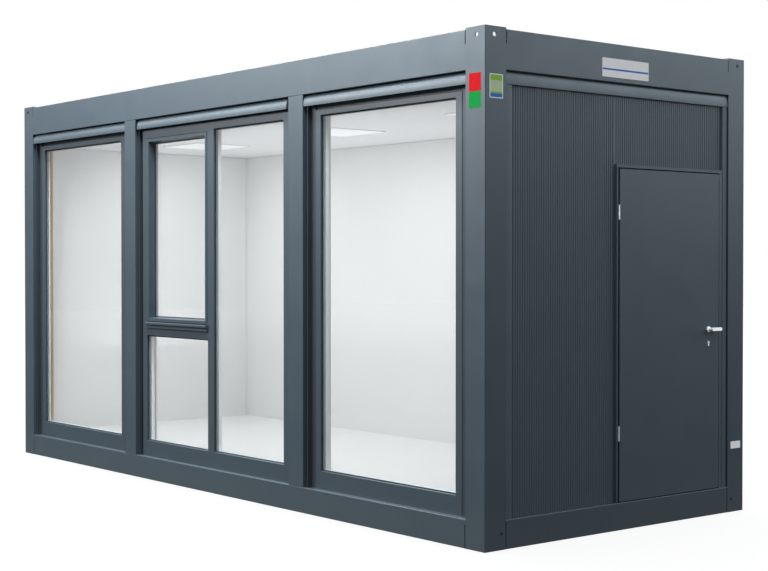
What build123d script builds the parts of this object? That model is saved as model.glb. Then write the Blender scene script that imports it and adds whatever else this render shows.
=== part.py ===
from build123d import *
from math import atan, degrees
import os

os.makedirs("parts", exist_ok=True)

# Portable site cabin: a steel frame of floor beams, corner posts and roof beams, with three tall
# windows in one long wall, a steel door in one end, and ribbed panels on the other walls.
# Millimetres. X runs along the cabin towards the door end, the glazed front faces -Y, Z is up and
# the origin is on the ground under the middle of the cabin. A depth is measured inward from the
# outer face of a wall's steel frame.

# Overall size of the module
length = 6055
width = 2435
height = 3100
half_l = length / 2
half_w = width / 2

# Steel frame
steel = 4
edge_radius = 4
post_face = 170
post_lip = 80
foot_plate = 8
floor_beam_top = 175
floor_flange = 110
floor_lower_flange = 60
roof_beam_low = 2848
roof_beam_top = 3090
roof_top_flange = 70
roof_low_flange = 90
roof_lip = 40
seam_width = 7
roof_seam_low = 3006
long_side_seam_top = 144
short_side_seam_top = 168
long_span = length - 2 * post_face
short_span = width - 2 * post_face

# Lifting corners
block_height = 94
block_wall = 8
block_hole_radius = 14
block_hole_inset = 76
block_hole_drop = 48
block_slot_length = 110
block_slot_width = 60
block_slot_corner = 16

# Floor, ceiling and roof
floor_level = 197
ceiling_level = 2750
ceiling_board = 16
underfloor_sheet = 2
joist_count = 9
joist_width = 50
joist_wall = 3
roof_sheet_level = 3028
roof_sheet_thickness = 3
roof_seam_count = 9
roof_seam_width = 8
roof_seam_height = 26
roof_seam_length = 2255
light_size = 545
light_depth = 7
light_pitch = 1895

# Ribbed wall panels and the white boards behind them
panel_outer = 22
panel_inner = 80
rib_pitch = 20
rib_depth = 3.5
groove_width = 9
panel_joint = 3
panel_margin = 15
lining_inner = 100
lining_joint = 2
back_panel_count = 5
far_panel_count = 2

# Strips that cover the edges of the wall panels
strip_gap = 8
strip_width = 50
strip_face = 8
strip_radius = 12
side_strip_top = 2765
top_strip_low = 2767
top_strip_top = 2841
top_strip_face = 5
top_strip_shoulder = 20
top_strip_gap = 2

# Glazed front: bays between the posts and two mullions
side_bay = 1640
mullion_face = 170
mullion_x = half_l - post_face - side_bay - mullion_face / 2
front_lining_outer = 117
front_lining_inner = 133
head_trim_low = 2768
head_trim_top = 2846
head_trim_face = 3
head_trim_shoulder = 36
trim_land = 14
trim_lip = 16
trim_sheet = 3
trim_turn = 60
side_trim_gap = 4
middle_trim_gap = 28
shutter_box_front = 58
rail_back = 50
rail_rib_front = 24
rail_rib_offset = 14
rail_rib_width = 12
rail_top = 2800

# Window frames
frame_depth = 70
frame_radius = 6
bevel_width = 6
bevel_depth = 13
pane = 4
pane_gap = 16
glass_low = 303
glass_top = 2698
side_window_depth = 47
side_window_top = 2740
side_window_width = 1480
side_glass_width = 1350
middle_window_depth = 40
middle_window_top = 2762
middle_window_width = 2000
middle_glass_edge = 929
centre_bar = 94
lower_pane_top = 1130

# Opening sash and the moulding under it
sash_low = 1242
sash_top = 2692
sash_proud = 4
sash_face = 28
sash_reveal = 57
sash_slope = 11
sash_depth = 85
sash_edge = 3.5
sash_gap = 2.5
sash_rebate = 16
drip_low = 1194
drip_left = -930
drip_right = -40

# Doorway and door, with places along the wall measured from its front corner
doorway_near = 1146
doorway_far = 2199
door_frame_face = 3
door_frame_top = 2333
rebate_near = 1158
rebate_far = 2173
rebate_top = 2313
stop_depth = 52
stop_near = 1195
stop_far = 2150
stop_top = 2285
threshold_top = 200
leaf_face = 1
leaf_rim_back = 15
leaf_back = 46
leaf_step = 14
leaf_near = 1173
leaf_far = 2167
leaf_low = 182
leaf_top = 2305

# Hinges, lever handle and lock cylinder
hinge_place = 1165.5
hinge_depth = 2
hinge_radius = 7
hinge_half = 45
hinge_clearance = 0.4
hinge_arm_front = 5
hinge_arm_back = 13
hinge_levels = (616, 2028)
spindle_place = 2056
spindle_level = 1260
spindle_radius = 4
spindle_bore = 9
rose_radius = 18
rose_bore = 10.5
rose_thickness = 8
neck_radius = 10
neck_gap = 2
outer_reach = 92
inner_reach = 80
lever_height = 22
lever_thickness = 14
lever_standoff = 31
lever_rounding = 10
cylinder_level = 1171
cylinder_radius = 8.5
cylinder_tail_radius = 5
cylinder_drop = 19.5
cylinder_proud = 5

# Elevations of the walls: x along the wall, y up, z outward
front_wall = Plane(origin=(0, -half_w, 0), x_dir=(1, 0, 0), z_dir=(0, -1, 0))
door_wall = Plane(origin=(half_l, -half_w, 0), x_dir=(0, 1, 0), z_dir=(1, 0, 0))
back_wall = Plane(origin=(half_l, half_w, 0), x_dir=(-1, 0, 0), z_dir=(0, 1, 0))
far_wall = Plane(origin=(-half_l, half_w, 0), x_dir=(0, -1, 0), z_dir=(-1, 0, 0))

# Sections through the middle of the same walls: x inward from the outer face, y up
front_section = Plane(origin=(0, -half_w, 0), x_dir=(0, 1, 0), z_dir=(1, 0, 0))
door_section = Plane(origin=(half_l, 0, 0), x_dir=(-1, 0, 0), z_dir=(0, 1, 0))
back_section = Plane(origin=(0, half_w, 0), x_dir=(0, -1, 0), z_dir=(-1, 0, 0))
far_section = Plane(origin=(-half_l, 0, 0), x_dir=(1, 0, 0), z_dir=(0, -1, 0))

sides = {
    "front": (front_section, long_span, long_side_seam_top),
    "door_end": (door_section, short_span, short_side_seam_top),
    "back": (back_section, long_span, long_side_seam_top),
    "far_end": (far_section, short_span, short_side_seam_top),
}
corners = {
    "front_door": (1, -1),
    "front_far": (-1, -1),
    "back_door": (1, 1),
    "back_far": (-1, 1),
}
from_corner = (Align.MIN, Align.MIN)


def slab(wall, left, right, low, top, near, far):
    """Flat piece in a wall, between two depths."""
    with BuildPart() as piece:
        with BuildSketch(wall.offset(-near)):
            with Locations((left, low)):
                Rectangle(right - left, top - low, align=from_corner)
        extrude(amount=near - far)
    return piece


def wall_plan(wall, level, depth):
    """Plan of a wall at one level: x along the wall, y inward from the given depth."""
    origin = wall.from_local_coords(Vector(0, level, -depth))
    return Plane(origin=origin, x_dir=wall.x_dir, z_dir=(0, 0, 1))


def corner_plan(side_x, side_y, level):
    """Plan of one corner of the frame: x and y both run inward from the outer edge."""
    return Plane(
        origin=(side_x * half_l, side_y * half_w, level),
        x_dir=(-side_x, 0, 0),
        z_dir=(0, 0, side_x * side_y),
    )


def end_seams(section, span, low, top):
    """Narrow gaps at both ends of a beam, between two levels, where it stands off the corner."""
    with BuildPart() as seams:
        for end in (-1, 1):
            middle = end * (span - seam_width) / 2
            with BuildSketch(section.offset(middle)):
                with Locations((0, low)):
                    Rectangle(post_face, top - low, align=from_corner)
            extrude(amount=seam_width / 2, both=True)
    return seams


def floor_beam(section, span, seam_top):
    """Rolled channel with its web outward and its wide flange on top."""
    with BuildPart() as beam:
        with BuildSketch(section) as profile:
            with BuildLine():
                Polyline(
                    (0, 0),
                    (floor_lower_flange, 0),
                    (floor_lower_flange, steel),
                    (steel, steel),
                    (steel, floor_beam_top - steel),
                    (floor_flange, floor_beam_top - steel),
                    (floor_flange, floor_beam_top),
                    (0, floor_beam_top),
                    close=True,
                )
            make_face()
            fillet(profile.vertices().group_by(Axis.X)[0], radius=edge_radius)
        extrude(amount=span / 2, both=True)
        seams = end_seams(section, span, 0, seam_top)
        add(seams.part, mode=Mode.SUBTRACT)
    return beam


def roof_beam(section, span):
    """Folded edge beam whose top flange turns down at the edge of the roof gutter."""
    with BuildPart() as beam:
        with BuildSketch(section) as profile:
            with BuildLine():
                Polyline(
                    (0, roof_beam_low),
                    (roof_low_flange, roof_beam_low),
                    (roof_low_flange, roof_beam_low + steel),
                    (steel, roof_beam_low + steel),
                    (steel, roof_beam_top - steel),
                    (roof_top_flange - steel, roof_beam_top - steel),
                    (roof_top_flange - steel, roof_beam_top - roof_lip),
                    (roof_top_flange, roof_beam_top - roof_lip),
                    (roof_top_flange, roof_beam_top),
                    (0, roof_beam_top),
                    close=True,
                )
            make_face()
            fillet(profile.vertices().group_by(Axis.X)[0], radius=edge_radius)
        extrude(amount=span / 2, both=True)
        seams = end_seams(section, span, roof_seam_low, roof_beam_top)
        add(seams.part, mode=Mode.SUBTRACT)
    return beam


def corner_post(side_x, side_y):
    """Folded post: two outer faces with a lip turned in at each edge, on a foot plate."""
    up = side_x * side_y
    with BuildPart() as post:
        with BuildSketch(corner_plan(side_x, side_y, 0)) as profile:
            with BuildLine():
                Polyline(
                    (0, 0),
                    (post_face, 0),
                    (post_face, post_lip),
                    (post_face - steel, post_lip),
                    (post_face - steel, steel),
                    (steel, steel),
                    (steel, post_face - steel),
                    (post_lip, post_face - steel),
                    (post_lip, post_face),
                    (0, post_face),
                    close=True,
                )
            make_face()
            fillet(profile.vertices().sort_by_distance((0, 0))[0], radius=edge_radius)
        extrude(amount=up * (height - block_height))
        with BuildSketch(corner_plan(side_x, side_y, 0)):
            with Locations((steel, steel)):
                Rectangle(post_face - 2 * steel, post_face - 2 * steel, align=from_corner)
        extrude(amount=up * foot_plate)
    return post


def corner_block(side_x, side_y):
    """Lifting corner: two outer walls with a round hole each, between two plates."""
    up = side_x * side_y
    low = height - block_height
    with BuildPart() as block:
        with BuildSketch(corner_plan(side_x, side_y, low)):
            Rectangle(post_face, post_face, align=from_corner)
        extrude(amount=up * block_height)
        upright = block.edges().filter_by(Axis.Z)
        outer_edge = upright.sort_by_distance((side_x * half_l, side_y * half_w, low))[0]
        fillet(outer_edge, radius=edge_radius)
        with BuildSketch(corner_plan(side_x, side_y, low + block_wall)):
            with Locations((block_wall, block_wall)):
                Rectangle(post_face, post_face, align=from_corner)
        extrude(amount=up * (block_height - 2 * block_wall), mode=Mode.SUBTRACT)
        with BuildSketch(corner_plan(side_x, side_y, height)) as slot:
            with Locations((post_face / 2, post_face / 2)):
                Rectangle(block_slot_length, block_slot_width)
            chamfer(slot.vertices(), length=block_slot_corner)
        extrude(amount=-up * block_wall, mode=Mode.SUBTRACT)
        hole_level = height - block_hole_drop
        long_face = Plane(
            origin=(side_x * (half_l - block_hole_inset), side_y * half_w, hole_level),
            z_dir=(0, side_y, 0),
        )
        end_face = Plane(
            origin=(side_x * half_l, side_y * (half_w - block_hole_inset), hole_level),
            z_dir=(side_x, 0, 0),
        )
        for face in (long_face, end_face):
            with BuildSketch(face):
                Circle(block_hole_radius)
            extrude(amount=-block_wall, mode=Mode.SUBTRACT)
    return block


def ribbed_panel(wall, left, right, low, top, rib_left, rib_right):
    """Wall panel whose outer skin is folded into narrow V grooves between two places."""
    span = rib_right - rib_left
    count = int(span // rib_pitch)
    first_groove = rib_left + (span - count * rib_pitch + rib_pitch - groove_width) / 2
    thickness = panel_inner - panel_outer
    outline = [(left, thickness), (left, 0)]
    for index in range(count):
        groove = first_groove + index * rib_pitch
        outline += [
            (groove, 0),
            (groove + groove_width / 2, rib_depth),
            (groove + groove_width, 0),
        ]
    outline += [(right, 0), (right, thickness)]
    with BuildPart() as panel:
        with BuildSketch(wall_plan(wall, low, panel_outer)):
            with BuildLine():
                Polyline(*outline, close=True)
            make_face()
        extrude(amount=top - low)
    return panel


def panel_row(wall, wall_length, count):
    """Row of equal ribbed panels from post to post, plain where the side strips cover them."""
    pitch = (wall_length - 2 * post_face) / count
    with BuildPart() as row:
        for index in range(count):
            left = post_face + index * pitch
            right = left + pitch
            rib_left = left + (strip_gap + strip_width if index == 0 else panel_margin)
            rib_right = right - (strip_gap + strip_width if index == count - 1 else panel_margin)
            panel = ribbed_panel(
                wall,
                left if index == 0 else left + panel_joint / 2,
                right if index == count - 1 else right - panel_joint / 2,
                floor_beam_top,
                roof_beam_low,
                rib_left,
                rib_right,
            )
            add(panel.part)
    return row


def side_strip(wall, left, round_left):
    """Upright cover strip beside a post, rounded along the edge away from the post."""
    with BuildPart() as strip:
        with BuildSketch(wall_plan(wall, floor_beam_top, strip_face)) as profile:
            with Locations((left, 0)):
                Rectangle(strip_width, panel_outer - strip_face, align=from_corner)
            outer_corners = profile.vertices().group_by(Axis.Y)[0].sort_by(Axis.X)
            fillet(outer_corners[0 if round_left else -1], radius=strip_radius)
        extrude(amount=side_strip_top - floor_beam_top)
    return strip


def cover_nose(section, centre, span, low, top, face, shoulder, back):
    """Hollow cover under a roof beam: a convex nose over a thick lip, open from below."""
    land = low + trim_land
    inner_top = top - trim_sheet
    with BuildPart() as nose:
        with BuildSketch(section.offset(centre)):
            with BuildLine():
                Line((back, top), (shoulder, top))
                EllipticalCenterArc(
                    (shoulder, land),
                    shoulder - face,
                    top - land,
                    start_angle=90,
                    arc_size=90,
                )
                Polyline(
                    (face, land),
                    (face, low),
                    (trim_lip, low),
                    (trim_lip, low + trim_turn),
                    (shoulder, inner_top),
                    (back, inner_top),
                    (back, top),
                )
            make_face()
        extrude(amount=span / 2, both=True)
    return nose


def window_frame(plane, half_width, centre, top, bevelled, square):
    """Window frame, rounded at the sides and top, with a bevel round each fixed pane."""
    with BuildPart() as frame:
        with BuildSketch(plane):
            with Locations((centre - half_width, floor_beam_top)):
                Rectangle(2 * half_width, top - floor_beam_top, align=from_corner)
        extrude(amount=-frame_depth)
        front_edges = frame.faces().sort_by(Axis.Y)[0].edges().sort_by(Axis.Z)
        fillet(front_edges[1:], radius=frame_radius)
        for left, right, low, high in bevelled + square:
            with BuildSketch(plane):
                with Locations((left, low)):
                    Rectangle(right - left, high - low, align=from_corner)
            extrude(amount=-frame_depth, mode=Mode.SUBTRACT)
        for left, right, low, high in bevelled:
            with BuildSketch(plane):
                with Locations(((left + right) / 2, (low + high) / 2)):
                    Rectangle(right - left + 2 * bevel_width, high - low + 2 * bevel_width)
            slope = degrees(atan(bevel_width / bevel_depth))
            extrude(amount=-bevel_depth, taper=slope, mode=Mode.SUBTRACT)
    return frame


def glazing(plane, left, right, low, top):
    """Two sheets of glass with an air gap between them."""
    with BuildPart() as unit:
        for depth in (0, pane + pane_gap):
            with BuildSketch(plane.offset(-depth)):
                with Locations((left, low)):
                    Rectangle(right - left, top - low, align=from_corner)
            extrude(amount=-pane)
    return unit


# Floor beams and roof beams round the four sides
for name, (section, span, seam_top) in sides.items():
    lower = floor_beam(section, span, seam_top)
    lower.part.label = f"floor_beam_{name}"
    export_step(lower.part, f"parts/floor_beam_{name}.step")
    upper = roof_beam(section, span)
    upper.part.label = f"roof_beam_{name}"
    export_step(upper.part, f"parts/roof_beam_{name}.step")

# Corner posts
for name, (side_x, side_y) in corners.items():
    post = corner_post(side_x, side_y)
    post.part.label = f"corner_post_{name}"
    export_step(post.part, f"parts/corner_post_{name}.step")

# Lifting corners on top of the posts
with BuildPart() as corner_blocks:
    for side_x, side_y in corners.values():
        block = corner_block(side_x, side_y)
        add(block.part)
corner_blocks.part.label = "corner_blocks"
export_step(corner_blocks.part, "parts/corner_blocks.step")

# Underfloor sheet on the lower flanges, with channel joists welded across it
joist_low = steel + underfloor_sheet
joist_rise = floor_beam_top - joist_low
joist_span = width - 2 * floor_flange
with BuildPart() as joists:
    with BuildSketch(Plane.XY.offset(steel)):
        Rectangle(long_span, width - 2 * steel)
        Rectangle(length - 2 * steel, short_span)
    extrude(amount=underfloor_sheet)
    with BuildSketch(Plane.XZ):
        with Locations((0, joist_low + joist_rise / 2)):
            with GridLocations(long_span / (joist_count + 1), 0, joist_count, 1):
                Rectangle(joist_width, joist_rise)
                with Locations((joist_wall, 0)):
                    Rectangle(joist_width, joist_rise - 2 * joist_wall, mode=Mode.SUBTRACT)
    extrude(amount=joist_span / 2, both=True)
joists.part.label = "floor_joists"
export_step(joists.part, "parts/floor_joists.step")

# Floor deck
room_width = width - front_lining_outer - panel_inner
room_centre = (front_lining_outer - panel_inner) / 2
with BuildPart() as deck:
    with BuildSketch(Plane.XY.offset(floor_beam_top)):
        with Locations(((panel_inner - lining_inner) / 2, room_centre)):
            Rectangle(length - panel_inner - lining_inner, room_width)
    extrude(amount=floor_level - floor_beam_top)
deck.part.label = "floor_deck"
export_step(deck.part, "parts/floor_deck.step")

# Roof sheet with standing seams across it, let in below the top of the roof beams
with BuildPart() as roof_sheet:
    with BuildSketch(Plane.XY.offset(roof_sheet_level)):
        Rectangle(long_span, width - 2 * steel)
        Rectangle(length - 2 * steel, short_span)
    extrude(amount=roof_sheet_thickness)
    with BuildSketch(Plane.XY.offset(roof_sheet_level + roof_sheet_thickness)):
        with GridLocations(long_span / (roof_seam_count + 1), 0, roof_seam_count, 1):
            Rectangle(roof_seam_width, roof_seam_length)
    extrude(amount=roof_seam_height)
roof_sheet.part.label = "roof_sheet"
export_step(roof_sheet.part, "parts/roof_sheet.step")

# Ceiling, and three square light panels on it
with BuildPart() as ceiling:
    with BuildSketch(Plane.XY.offset(ceiling_level)):
        with Locations((0, room_centre)):
            Rectangle(length - 2 * panel_inner, room_width)
    extrude(amount=ceiling_board)
ceiling.part.label = "ceiling"
export_step(ceiling.part, "parts/ceiling.step")

with BuildPart() as lights:
    with BuildSketch(Plane.XY.offset(ceiling_level - light_depth)):
        with GridLocations(light_pitch, 0, 3, 1):
            Rectangle(light_size, light_size)
    extrude(amount=light_depth)
lights.part.label = "ceiling_lights"
export_step(lights.part, "parts/ceiling_lights.step")

# Mullions: a folded channel between each side bay and the middle bay
for name, place in (("left", -mullion_x), ("right", mullion_x)):
    with BuildPart() as mullion:
        with BuildSketch(Plane(origin=(place, -half_w, floor_beam_top))) as profile:
            with Locations((0, front_lining_outer / 2)):
                Rectangle(mullion_face, front_lining_outer)
            with Locations((0, front_lining_outer / 2 + steel)):
                Rectangle(mullion_face - 2 * steel, front_lining_outer, mode=Mode.SUBTRACT)
            fillet(profile.vertices().group_by(Axis.Y)[0], radius=edge_radius)
        extrude(amount=roof_beam_low - floor_beam_top)
    mullion.part.label = f"mullion_{name}"
    export_step(mullion.part, f"parts/mullion_{name}.step")

# The three bays: centre, half width, half width of the window, its top, gap beside the head trim
side_bay_centre = mullion_x + mullion_face / 2 + side_bay / 2
side_measures = (side_bay / 2, side_window_width / 2, side_window_top, side_trim_gap)
middle_measures = (
    mullion_x - mullion_face / 2,
    middle_window_width / 2,
    middle_window_top,
    middle_trim_gap,
)
bays = (
    (-side_bay_centre, *side_measures),
    (0, *middle_measures),
    (side_bay_centre, *side_measures),
)

# Head trims: a rounded cover over the roller shutter slot of each bay
with BuildPart() as head_trims:
    for centre, half_bay, half_window, window_top, trim_gap in bays:
        trim = cover_nose(
            front_section,
            centre,
            2 * (half_bay - trim_gap),
            head_trim_low,
            head_trim_top,
            head_trim_face,
            head_trim_shoulder,
            shutter_box_front,
        )
        add(trim.part)
head_trims.part.label = "head_trims"
export_step(head_trims.part, "parts/head_trims.step")

# Shutter boxes behind the head trims
with BuildPart() as shutter_boxes:
    for centre, half_bay, half_window, window_top, trim_gap in bays:
        with BuildSketch(front_wall.offset(-shutter_box_front)):
            with Locations((centre - half_bay, window_top)):
                Rectangle(2 * half_bay, roof_beam_low - window_top, align=from_corner)
        extrude(amount=shutter_box_front - front_lining_outer)
shutter_boxes.part.label = "shutter_boxes"
export_step(shutter_boxes.part, "parts/shutter_boxes.step")

# Shutter guide rails: a flat base with a proud rib, between each window and the steel beside it
with BuildPart() as rails:
    for centre, half_bay, half_window, window_top, trim_gap in bays:
        for side in (-1, 1):
            edge = centre + side * half_bay
            with BuildSketch(Plane(origin=(edge, -half_w, floor_beam_top))):
                base = half_bay - half_window
                with Locations((-side * base / 2, (rail_back + shutter_box_front) / 2)):
                    Rectangle(base, shutter_box_front - rail_back)
                rib = rail_rib_offset + rail_rib_width / 2
                with Locations((-side * rib, (rail_rib_front + rail_back) / 2)):
                    Rectangle(rail_rib_width, rail_back - rail_rib_front)
            extrude(amount=rail_top - floor_beam_top)
rails.part.label = "shutter_rails"
export_step(rails.part, "parts/shutter_rails.step")

# Side windows: one fixed pane each
side_plane = front_wall.offset(-side_window_depth)
for name, centre in (("left", -side_bay_centre), ("right", side_bay_centre)):
    glass_left = centre - side_glass_width / 2
    glass_right = centre + side_glass_width / 2
    frame = window_frame(
        side_plane,
        side_window_width / 2,
        centre,
        side_window_top,
        [(glass_left, glass_right, glass_low, glass_top)],
        [],
    )
    frame.part.label = f"window_frame_{name}"
    export_step(frame.part, f"parts/window_frame_{name}.step")
    glass = glazing(side_plane.offset(-bevel_depth), glass_left, glass_right, glass_low, glass_top)
    glass.part.label = f"window_glass_{name}"
    export_step(glass.part, f"parts/window_glass_{name}.step")

# Middle window: a tall fixed pane on the right, and on the left a sash over a low fixed pane
middle_plane = front_wall.offset(-middle_window_depth)
bar_edge = centre_bar / 2
right_pane = (bar_edge, middle_glass_edge, glass_low, glass_top)
lower_pane = (-middle_glass_edge, -bar_edge, glass_low, lower_pane_top)
sash_opening = (-middle_glass_edge, -bar_edge, sash_low, sash_top)
middle_frame = window_frame(
    middle_plane,
    middle_window_width / 2,
    0,
    middle_window_top,
    [right_pane, lower_pane],
    [sash_opening],
)
middle_frame.part.label = "window_frame_middle"
export_step(middle_frame.part, "parts/window_frame_middle.step")

with BuildPart() as middle_glass:
    for fixed_pane in (right_pane, lower_pane):
        unit = glazing(middle_plane.offset(-bevel_depth), *fixed_pane)
        add(unit.part)
middle_glass.part.label = "window_glass_middle"
export_step(middle_glass.part, "parts/window_glass_middle.step")

# Opening sash, a little proud of its frame, with a deep sloped reveal in to its pane
sash_plane = front_wall.offset(sash_proud - middle_window_depth)
sash_centre = (-(middle_glass_edge + bar_edge) / 2, (sash_low + sash_top) / 2)
sash_width = middle_glass_edge - bar_edge
sash_height = sash_top - sash_low
sash_glass_width = sash_width - 2 * (sash_face + sash_slope)
sash_glass_height = sash_height - 2 * (sash_face + sash_slope)
with BuildPart() as sash:
    with BuildSketch(sash_plane):
        with Locations(sash_centre):
            Rectangle(sash_width - 2 * sash_gap, sash_height - 2 * sash_gap)
    extrude(amount=-sash_depth)
    chamfer(sash.faces().sort_by(Axis.Y)[0].edges(), length=sash_edge)
    with BuildSketch(sash_plane.offset(-sash_rebate)):
        with Locations(sash_centre):
            Rectangle(sash_width, sash_height)
    extrude(amount=sash_rebate - sash_depth)
    with BuildSketch(sash_plane):
        with Locations(sash_centre):
            Rectangle(sash_glass_width, sash_glass_height)
    extrude(amount=-sash_depth, mode=Mode.SUBTRACT)
    with BuildSketch(sash_plane):
        with Locations(sash_centre):
            Rectangle(sash_width - 2 * sash_face, sash_height - 2 * sash_face)
    extrude(
        amount=-sash_reveal,
        taper=degrees(atan(sash_slope / sash_reveal)),
        mode=Mode.SUBTRACT,
    )
sash.part.label = "sash"
export_step(sash.part, "parts/sash.step")

sash_glass = glazing(
    sash_plane.offset(-sash_reveal),
    sash_centre[0] - sash_glass_width / 2,
    sash_centre[0] + sash_glass_width / 2,
    sash_centre[1] - sash_glass_height / 2,
    sash_centre[1] + sash_glass_height / 2,
)
sash_glass.part.label = "sash_glass"
export_step(sash_glass.part, "parts/sash_glass.step")

# Drip moulding on the bar under the sash: two noses with a groove between them
nose_front = 24
nose_rise = 12
groove_depth = 34
groove_rise = 25
upper_front = 18
drip_rise = 46
with BuildPart() as drip:
    with BuildSketch(front_section.offset(drip_left)) as profile:
        with Locations((nose_front, drip_low)):
            Rectangle(middle_window_depth - nose_front, nose_rise, align=from_corner)
        with Locations((groove_depth, drip_low)):
            Rectangle(middle_window_depth - groove_depth, drip_rise, align=from_corner)
        with Locations((upper_front, drip_low + groove_rise)):
            Rectangle(middle_window_depth - upper_front, drip_rise - groove_rise, align=from_corner)
        fillet(profile.vertices().group_by(Axis.X)[0], radius=4)
    extrude(amount=drip_right - drip_left)
drip.part.label = "drip_moulding"
export_step(drip.part, "parts/drip_moulding.step")

# Ribbed panels of the back and of the far end
back_panels = panel_row(back_wall, length, back_panel_count)
back_panels.part.label = "back_wall_panels"
export_step(back_panels.part, "parts/back_wall_panels.step")

far_panels = panel_row(far_wall, width, far_panel_count)
far_panels.part.label = "far_wall_panels"
export_step(far_panels.part, "parts/far_wall_panels.step")

# Door end: ribbed panel beside the doorway, and a narrow plain one on the lock side
with BuildPart() as beside_panel:
    wide = ribbed_panel(
        door_wall,
        post_face,
        doorway_near,
        floor_beam_top,
        roof_beam_low,
        post_face + strip_gap + strip_width,
        doorway_near,
    )
    add(wide.part)
    narrow = slab(
        door_wall,
        doorway_far,
        width - post_face,
        floor_beam_top,
        door_frame_top - panel_joint,
        panel_outer,
        panel_inner,
    )
    add(narrow.part)
beside_panel.part.label = "door_end_panel_beside"
export_step(beside_panel.part, "parts/door_end_panel_beside.step")

# Door end: ribbed panel over the doorway
over_panel = ribbed_panel(
    door_wall,
    doorway_near,
    width - post_face,
    door_frame_top,
    roof_beam_low,
    doorway_near,
    width - post_face - strip_gap - strip_width,
)
over_panel.part.label = "door_end_panel_over"
export_step(over_panel.part, "parts/door_end_panel_over.step")

# Cover strips on the three ribbed walls: one beside each post and one under each roof beam
with BuildPart() as strips:
    for wall, section, wall_length in (
        (door_wall, door_section, width),
        (back_wall, back_section, length),
        (far_wall, far_section, width),
    ):
        near_strip = side_strip(wall, post_face + strip_gap, False)
        add(near_strip.part)
        far_strip = side_strip(wall, wall_length - post_face - strip_gap - strip_width, True)
        add(far_strip.part)
        top_strip = cover_nose(
            section,
            0,
            wall_length - 2 * (post_face + top_strip_gap),
            top_strip_low,
            top_strip_top,
            top_strip_face,
            top_strip_shoulder,
            panel_outer,
        )
        add(top_strip.part)
strips.part.label = "edge_strips"
export_step(strips.part, "parts/edge_strips.step")

# White boards inside the ribbed walls, with a joint between one board and the next
board_depths = (panel_inner, lining_inner)
back_board_edge = width - lining_inner - lining_joint
with BuildPart() as linings:
    board = slab(
        back_wall,
        panel_inner,
        length - panel_inner,
        floor_level,
        ceiling_level,
        *board_depths,
    )
    add(board.part)
    board = slab(
        far_wall,
        lining_inner + lining_joint,
        width - panel_inner,
        floor_level,
        ceiling_level,
        *board_depths,
    )
    add(board.part)
    board = slab(
        door_wall,
        panel_inner,
        doorway_near,
        floor_beam_top,
        ceiling_level,
        *board_depths,
    )
    add(board.part)
    board = slab(
        door_wall,
        doorway_near + lining_joint,
        back_board_edge,
        door_frame_top,
        ceiling_level,
        *board_depths,
    )
    add(board.part)
    board = slab(
        door_wall,
        doorway_far,
        back_board_edge,
        floor_beam_top,
        door_frame_top - lining_joint,
        *board_depths,
    )
    add(board.part)
linings.part.label = "wall_linings"
export_step(linings.part, "parts/wall_linings.step")

# White board inside the glazed front, cut out round the glass
with BuildPart() as front_lining:
    with BuildSketch(front_wall.offset(-front_lining_outer)):
        with Locations((0, (floor_level + ceiling_level) / 2)):
            Rectangle(length - 2 * lining_inner, ceiling_level - floor_level)
        with Locations((0, (glass_low + glass_top) / 2)):
            Rectangle(2 * middle_glass_edge, glass_top - glass_low, mode=Mode.SUBTRACT)
            with Locations((-side_bay_centre, 0), (side_bay_centre, 0)):
                Rectangle(side_glass_width, glass_top - glass_low, mode=Mode.SUBTRACT)
    extrude(amount=front_lining_outer - front_lining_inner)
front_lining.part.label = "front_lining"
export_step(front_lining.part, "parts/front_lining.step")

# Door frame: a welded steel ring with a rebate for the leaf, closed below by the threshold
with BuildPart() as door_frame:
    with BuildSketch(door_wall.offset(-door_frame_face)):
        with Locations((doorway_near, floor_beam_top)):
            Rectangle(doorway_far - doorway_near, door_frame_top - floor_beam_top, align=from_corner)
        with Locations((rebate_near, floor_beam_top)):
            Rectangle(
                rebate_far - rebate_near,
                rebate_top - floor_beam_top,
                align=from_corner,
                mode=Mode.SUBTRACT,
            )
    extrude(amount=door_frame_face - stop_depth)
    with BuildSketch(door_wall.offset(-stop_depth)):
        with Locations((doorway_near, floor_beam_top)):
            Rectangle(doorway_far - doorway_near, door_frame_top - floor_beam_top, align=from_corner)
        with Locations((stop_near, threshold_top)):
            Rectangle(
                stop_far - stop_near,
                stop_top - threshold_top,
                align=from_corner,
                mode=Mode.SUBTRACT,
            )
    extrude(amount=stop_depth - lining_inner)
door_frame.part.label = "door_frame"
export_step(door_frame.part, "parts/door_frame.step")

# Lock cylinder: a round barrel over a narrower keyed tail, through the leaf and proud both sides
keyway_plane = door_wall.offset(cylinder_proud - leaf_face)
with BuildSketch() as keyway:
    with Locations((spindle_place, cylinder_level)):
        Circle(cylinder_radius)
        with Locations((0, -cylinder_drop)):
            Circle(cylinder_tail_radius)
        with Locations((0, -cylinder_drop / 2)):
            Rectangle(2 * cylinder_tail_radius, cylinder_drop)

# Door leaf: an outer sheet with its rim in the rebate, over a body that sits inside the frame
with BuildPart() as leaf:
    with BuildSketch(door_wall.offset(-leaf_face)):
        with Locations((leaf_near, leaf_low)):
            Rectangle(leaf_far - leaf_near, leaf_top - leaf_low, align=from_corner)
    extrude(amount=leaf_face - leaf_rim_back)
    with BuildSketch(door_wall.offset(-leaf_rim_back)):
        with Locations((leaf_near + leaf_step, leaf_low)):
            Rectangle(
                leaf_far - leaf_near - 2 * leaf_step,
                leaf_top - leaf_low - leaf_step,
                align=from_corner,
            )
    extrude(amount=leaf_rim_back - leaf_back)
    with BuildSketch(door_wall):
        with Locations((spindle_place, spindle_level)):
            Circle(spindle_bore)
    extrude(amount=-leaf_back, mode=Mode.SUBTRACT)
    with BuildSketch(door_wall):
        add(keyway.sketch)
    extrude(amount=-leaf_back, mode=Mode.SUBTRACT)
leaf.part.label = "door_leaf"
export_step(leaf.part, "parts/door_leaf.step")

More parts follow.
